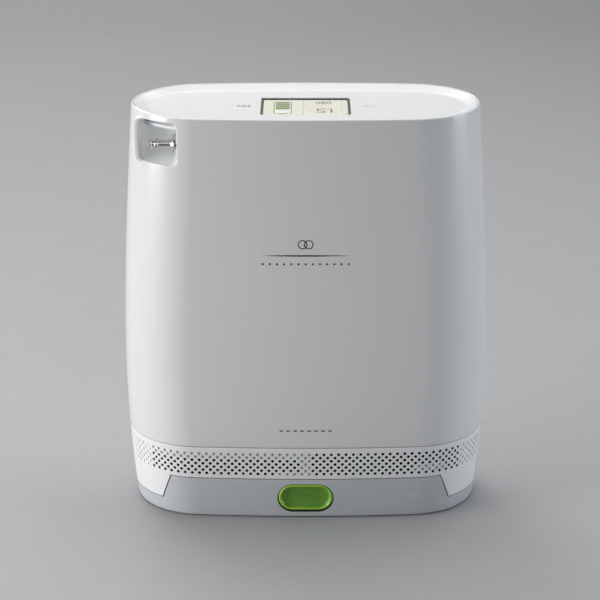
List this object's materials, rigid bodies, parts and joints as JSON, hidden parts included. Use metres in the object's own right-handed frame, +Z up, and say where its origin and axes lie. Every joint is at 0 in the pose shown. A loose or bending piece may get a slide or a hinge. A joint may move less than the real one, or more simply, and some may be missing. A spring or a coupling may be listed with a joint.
{
  "type": "portable oxygen concentrator",
  "caption": "Portable oxygen concentrator in an oval upright casing with a dished control deck, hose barb pocket, perforated vent band and clip-in battery base.",
  "frame": {"origin": "centre of the base, at the level of the battery's feet", "axes": "+Z up, the front faces -Y, +X to the right of someone facing the front"},
  "size_m": [0.211, 0.091, 0.239],
  "materials": {
    "gloss_white": "gloss",
    "satin_white": "satin",
    "cup_grey": "satin",
    "inner_plastic": "matte",
    "dark_plastic": "matte",
    "clear_lens": "gloss",
    "lcd": "satin",
    "circuit_green": "satin",
    "foam": "open-cell foam",
    "barb_metal": "polished",
    "brass": "turned",
    "rubber": "matte",
    "silicone": "satin",
    "valve_plastic": "satin",
    "coil_plastic": "satin",
    "steel": "brushed",
    "cast_alloy": "cast",
    "windings": "enamelled",
    "canister": "anodised",
    "battery_grey": "satin",
    "cell_wrap": "shrink wrap",
    "button_green": "gloss"
  },
  "bodies": {
    "housing": {"front_shell": "gloss_white", "rear_shell": "gloss_white", "top_deck": "gloss_white", "vent_band": "satin_white", "vent_liner": "cup_grey", "port_cup": "cup_grey", "chassis": "inner_plastic", "window_frame": "dark_plastic", "fan_frame": "dark_plastic", "dc_inlet": "dark_plastic", "exhaust_muffler": "dark_plastic", "window_lens": "clear_lens", "lcd_panel": "lcd", "display_board": "circuit_green", "main_board": "circuit_green", "intake_filter": "foam", "outlet_barb": "barb_metal", "outlet_nut": "brass", "bay_connector": "brass", "outlet_seal": "rubber", "isolators": "rubber", "outlet_hose": "silicone", "delivery_hose": "silicone", "feed_hoses": "silicone", "bed_hoses": "silicone", "product_hoses": "silicone", "dose_valve": "valve_plastic", "valve_manifold": "valve_plastic", "oxygen_tank": "valve_plastic", "oxygen_sensor": "coil_plastic", "valve_coils": "coil_plastic", "latch_catch": "steel", "crank_bearings": "steel", "case_screws": "steel", "crankcase": "cast_alloy", "left_cylinder": "cast_alloy", "right_cylinder": "cast_alloy", "left_head": "cast_alloy", "right_head": "cast_alloy", "heat_sink": "cast_alloy", "motor_stator": "windings", "left_sieve_bed": "canister", "right_sieve_bed": "canister"},
    "crank": {"crankshaft": "steel", "motor_rotor": "steel"},
    "left_piston": {"left_piston": "cast_alloy"},
    "right_piston": {"right_piston": "cast_alloy"},
    "fan": {"fan_rotor": "dark_plastic"},
    "power_key": {"power_key": "gloss_white"},
    "alarm_key": {"alarm_key": "gloss_white"},
    "phase_a_valves": {"phase_a_plungers": "steel"},
    "phase_b_valves": {"phase_b_plungers": "steel"},
    "battery": {"battery_case": "battery_grey", "battery_lid": "battery_grey", "battery_cells": "cell_wrap", "battery_board": "circuit_green", "battery_feet": "rubber", "release_springs": "steel"},
    "release": {"release_button": "button_green", "latch_hooks": "steel"}
  },
  "joints": [
    {"name": "battery_slide", "type": "slide", "parent": "housing", "child": "battery", "axis": [0, 0, 1], "range_m": [-0.06, 0]},
    {"name": "release_press", "type": "slide", "parent": "battery", "child": "release", "axis": [0, 1, 0], "range_m": [0, 0.0022], "stiffness_N_per_m": 900, "springref_m": -0.003, "deforming": ["release_springs"]},
    {"name": "power_key_press", "type": "slide", "parent": "housing", "child": "power_key", "axis": [0, 0, 1], "range_m": [-0.0004, 0], "stiffness_N_per_m": 1500, "springref_m": 0.0008},
    {"name": "alarm_key_press", "type": "slide", "parent": "housing", "child": "alarm_key", "axis": [0, 0, 1], "range_m": [-0.0004, 0], "stiffness_N_per_m": 1500, "springref_m": 0.0008},
    {"name": "crank_spin", "type": "hinge", "parent": "housing", "child": "crank", "pos_m": [0, 0, 0.075], "axis": [1, 0, 0], "continuous": true},
    {"name": "left_piston_swing", "type": "hinge", "parent": "crank", "child": "left_piston", "pos_m": [-0.039, 0, 0.077], "axis": [1, 0, 0], "continuous": true},
    {"name": "right_piston_swing", "type": "hinge", "parent": "crank", "child": "right_piston", "pos_m": [0.039, 0, 0.073], "axis": [1, 0, 0], "continuous": true},
    {"name": "fan_spin", "type": "hinge", "parent": "housing", "child": "fan", "pos_m": [0, 0, 0.038], "axis": [0, 0, 1], "continuous": true},
    {"name": "phase_a_lift", "type": "slide", "parent": "housing", "child": "phase_a_valves", "axis": [0, 0, 1], "range_m": [0, 0.0012], "stiffness_N_per_m": 600, "springref_m": -0.001},
    {"name": "phase_b_lift", "type": "slide", "parent": "housing", "child": "phase_b_valves", "axis": [0, 0, 1], "range_m": [0, 0.0012], "stiffness_N_per_m": 600, "springref_m": -0.001}
  ],
  "couplings": [
    {"joint": "left_piston_swing", "follows": "crank_spin", "ratio": -1},
    {"joint": "right_piston_swing", "follows": "crank_spin", "ratio": -1}
  ]
}
